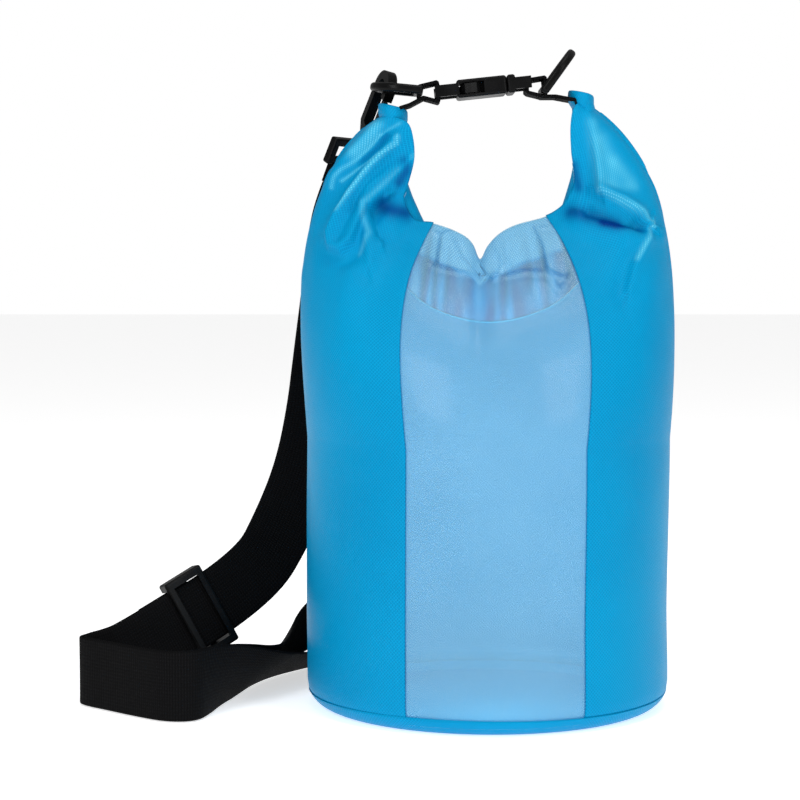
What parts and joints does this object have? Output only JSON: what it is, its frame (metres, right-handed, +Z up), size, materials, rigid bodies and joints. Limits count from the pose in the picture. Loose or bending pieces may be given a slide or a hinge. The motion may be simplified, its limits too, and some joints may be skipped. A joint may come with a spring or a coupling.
{
  "type": "roll-top dry bag",
  "caption": "Roll-top dry bag of azure coated fabric with a clear front window, side-release buckle handle, D-rings, snap hooks and an adjustable shoulder strap.",
  "frame": {"origin": "centre of the round base, on the surface the bag stands on", "axes": "+Z up along the tube, window faces -Y, +X to the right seen from the window"},
  "size_m": [0.3313, 0.2492, 0.3643],
  "materials": {
    "coated_fabric": "semi-gloss PVC coated",
    "clear_film": "clear gloss film",
    "webbing": "woven polypropylene",
    "moulded_black": "satin moulded",
    "spring_gate": "moulded, slightly glossier",
    "stiffener": "plain strip"
  },
  "bodies": {
    "root": {"tube_wall": "coated_fabric", "base_panel": "coated_fabric", "mouth_roll": "coated_fabric", "ring_patch": "coated_fabric", "window_panel": "clear_film", "mouth_stiffener": "stiffener", "webbing_left": "webbing", "webbing_right": "webbing", "ring_tab": "webbing", "strap_main": "webbing", "strap_return": "webbing", "strap_top_loop": "webbing", "strap_low_loop": "webbing", "buckle_socket": "moulded_black", "buckle_plug": "moulded_black", "eye_upper": "moulded_black", "eye_lower": "moulded_black"},
    "ring_left": {"ring_left": "moulded_black"},
    "ring_right": {"ring_right": "moulded_black"},
    "ring_lower": {"ring_lower": "moulded_black"},
    "hook_upper": {"hook_upper": "moulded_black"},
    "gate_upper": {"gate_upper": "spring_gate"},
    "hook_lower": {"hook_lower": "moulded_black"},
    "gate_lower": {"gate_lower": "spring_gate"},
    "latch_front": {"latch_arm_front": "moulded_black"},
    "latch_back": {"latch_arm_back": "moulded_black"},
    "slider": {"strap_slider": "moulded_black", "strap_end_loop": "webbing"}
  },
  "joints": [
    {"name": "ring_right_swing", "type": "hinge", "parent": "root", "child": "ring_right", "pos_m": [0.031, 0, 0.342], "axis": [0, 1, 0], "range_deg": [-72, 32]},
    {"name": "ring_left_swing", "type": "hinge", "parent": "root", "child": "ring_left", "pos_m": [-0.0389, 0, 0.3413], "axis": [0, 1, 0], "range_deg": [-3, 4]},
    {"name": "ring_lower_swing", "type": "hinge", "parent": "root", "child": "ring_lower", "pos_m": [-0.01, 0.1085, 0.094], "axis": [1, 0, 0], "range_deg": [-5, 5]},
    {"name": "hook_upper_swivel", "type": "hinge", "parent": "root", "child": "hook_upper", "pos_m": [-0.06917, 0.02131, 0.31486], "axis": [0.3611, -0.3009, 0.8827], "range_deg": [-5, 4]},
    {"name": "hook_lower_swivel", "type": "hinge", "parent": "root", "child": "hook_lower", "pos_m": [-0.04218, 0.12165, 0.05246], "axis": [0.6688, -0.2229, 0.7093], "range_deg": [-12, 12]},
    {"name": "gate_upper_hinge", "type": "hinge", "parent": "hook_upper", "child": "gate_upper", "pos_m": [-0.0632, 0.01169, 0.32149], "axis": [-0.8901, -0.3935, 0.23], "range_deg": [0, 22], "stiffness_Nm_per_rad": 0.05, "springref_deg": -17.19},
    {"name": "gate_lower_hinge", "type": "hinge", "parent": "hook_lower", "child": "gate_lower", "pos_m": [-0.03491, 0.12618, 0.06239], "axis": [0.7435, 0.2035, -0.637], "range_deg": [0, 22], "stiffness_Nm_per_rad": 0.05, "springref_deg": -17.19},
    {"name": "latch_front_squeeze", "type": "hinge", "parent": "root", "child": "latch_front", "pos_m": [0.00883, -0.011, 0.3443], "axis": [0.1045, 0, -0.9945], "range_deg": [0, 8.5], "stiffness_Nm_per_rad": 0.6, "springref_deg": -1.15},
    {"name": "latch_back_squeeze", "type": "hinge", "parent": "root", "child": "latch_back", "pos_m": [0.00883, 0.011, 0.3443], "axis": [-0.1045, 0, 0.9945], "range_deg": [0, 8.5], "stiffness_Nm_per_rad": 0.6, "springref_deg": -1.15},
    {"name": "slider_slide", "type": "slide", "parent": "root", "child": "slider", "axis": [0.7542, 0.5008, 0.4247], "range_m": [-0.008, 0.008]}
  ]
}
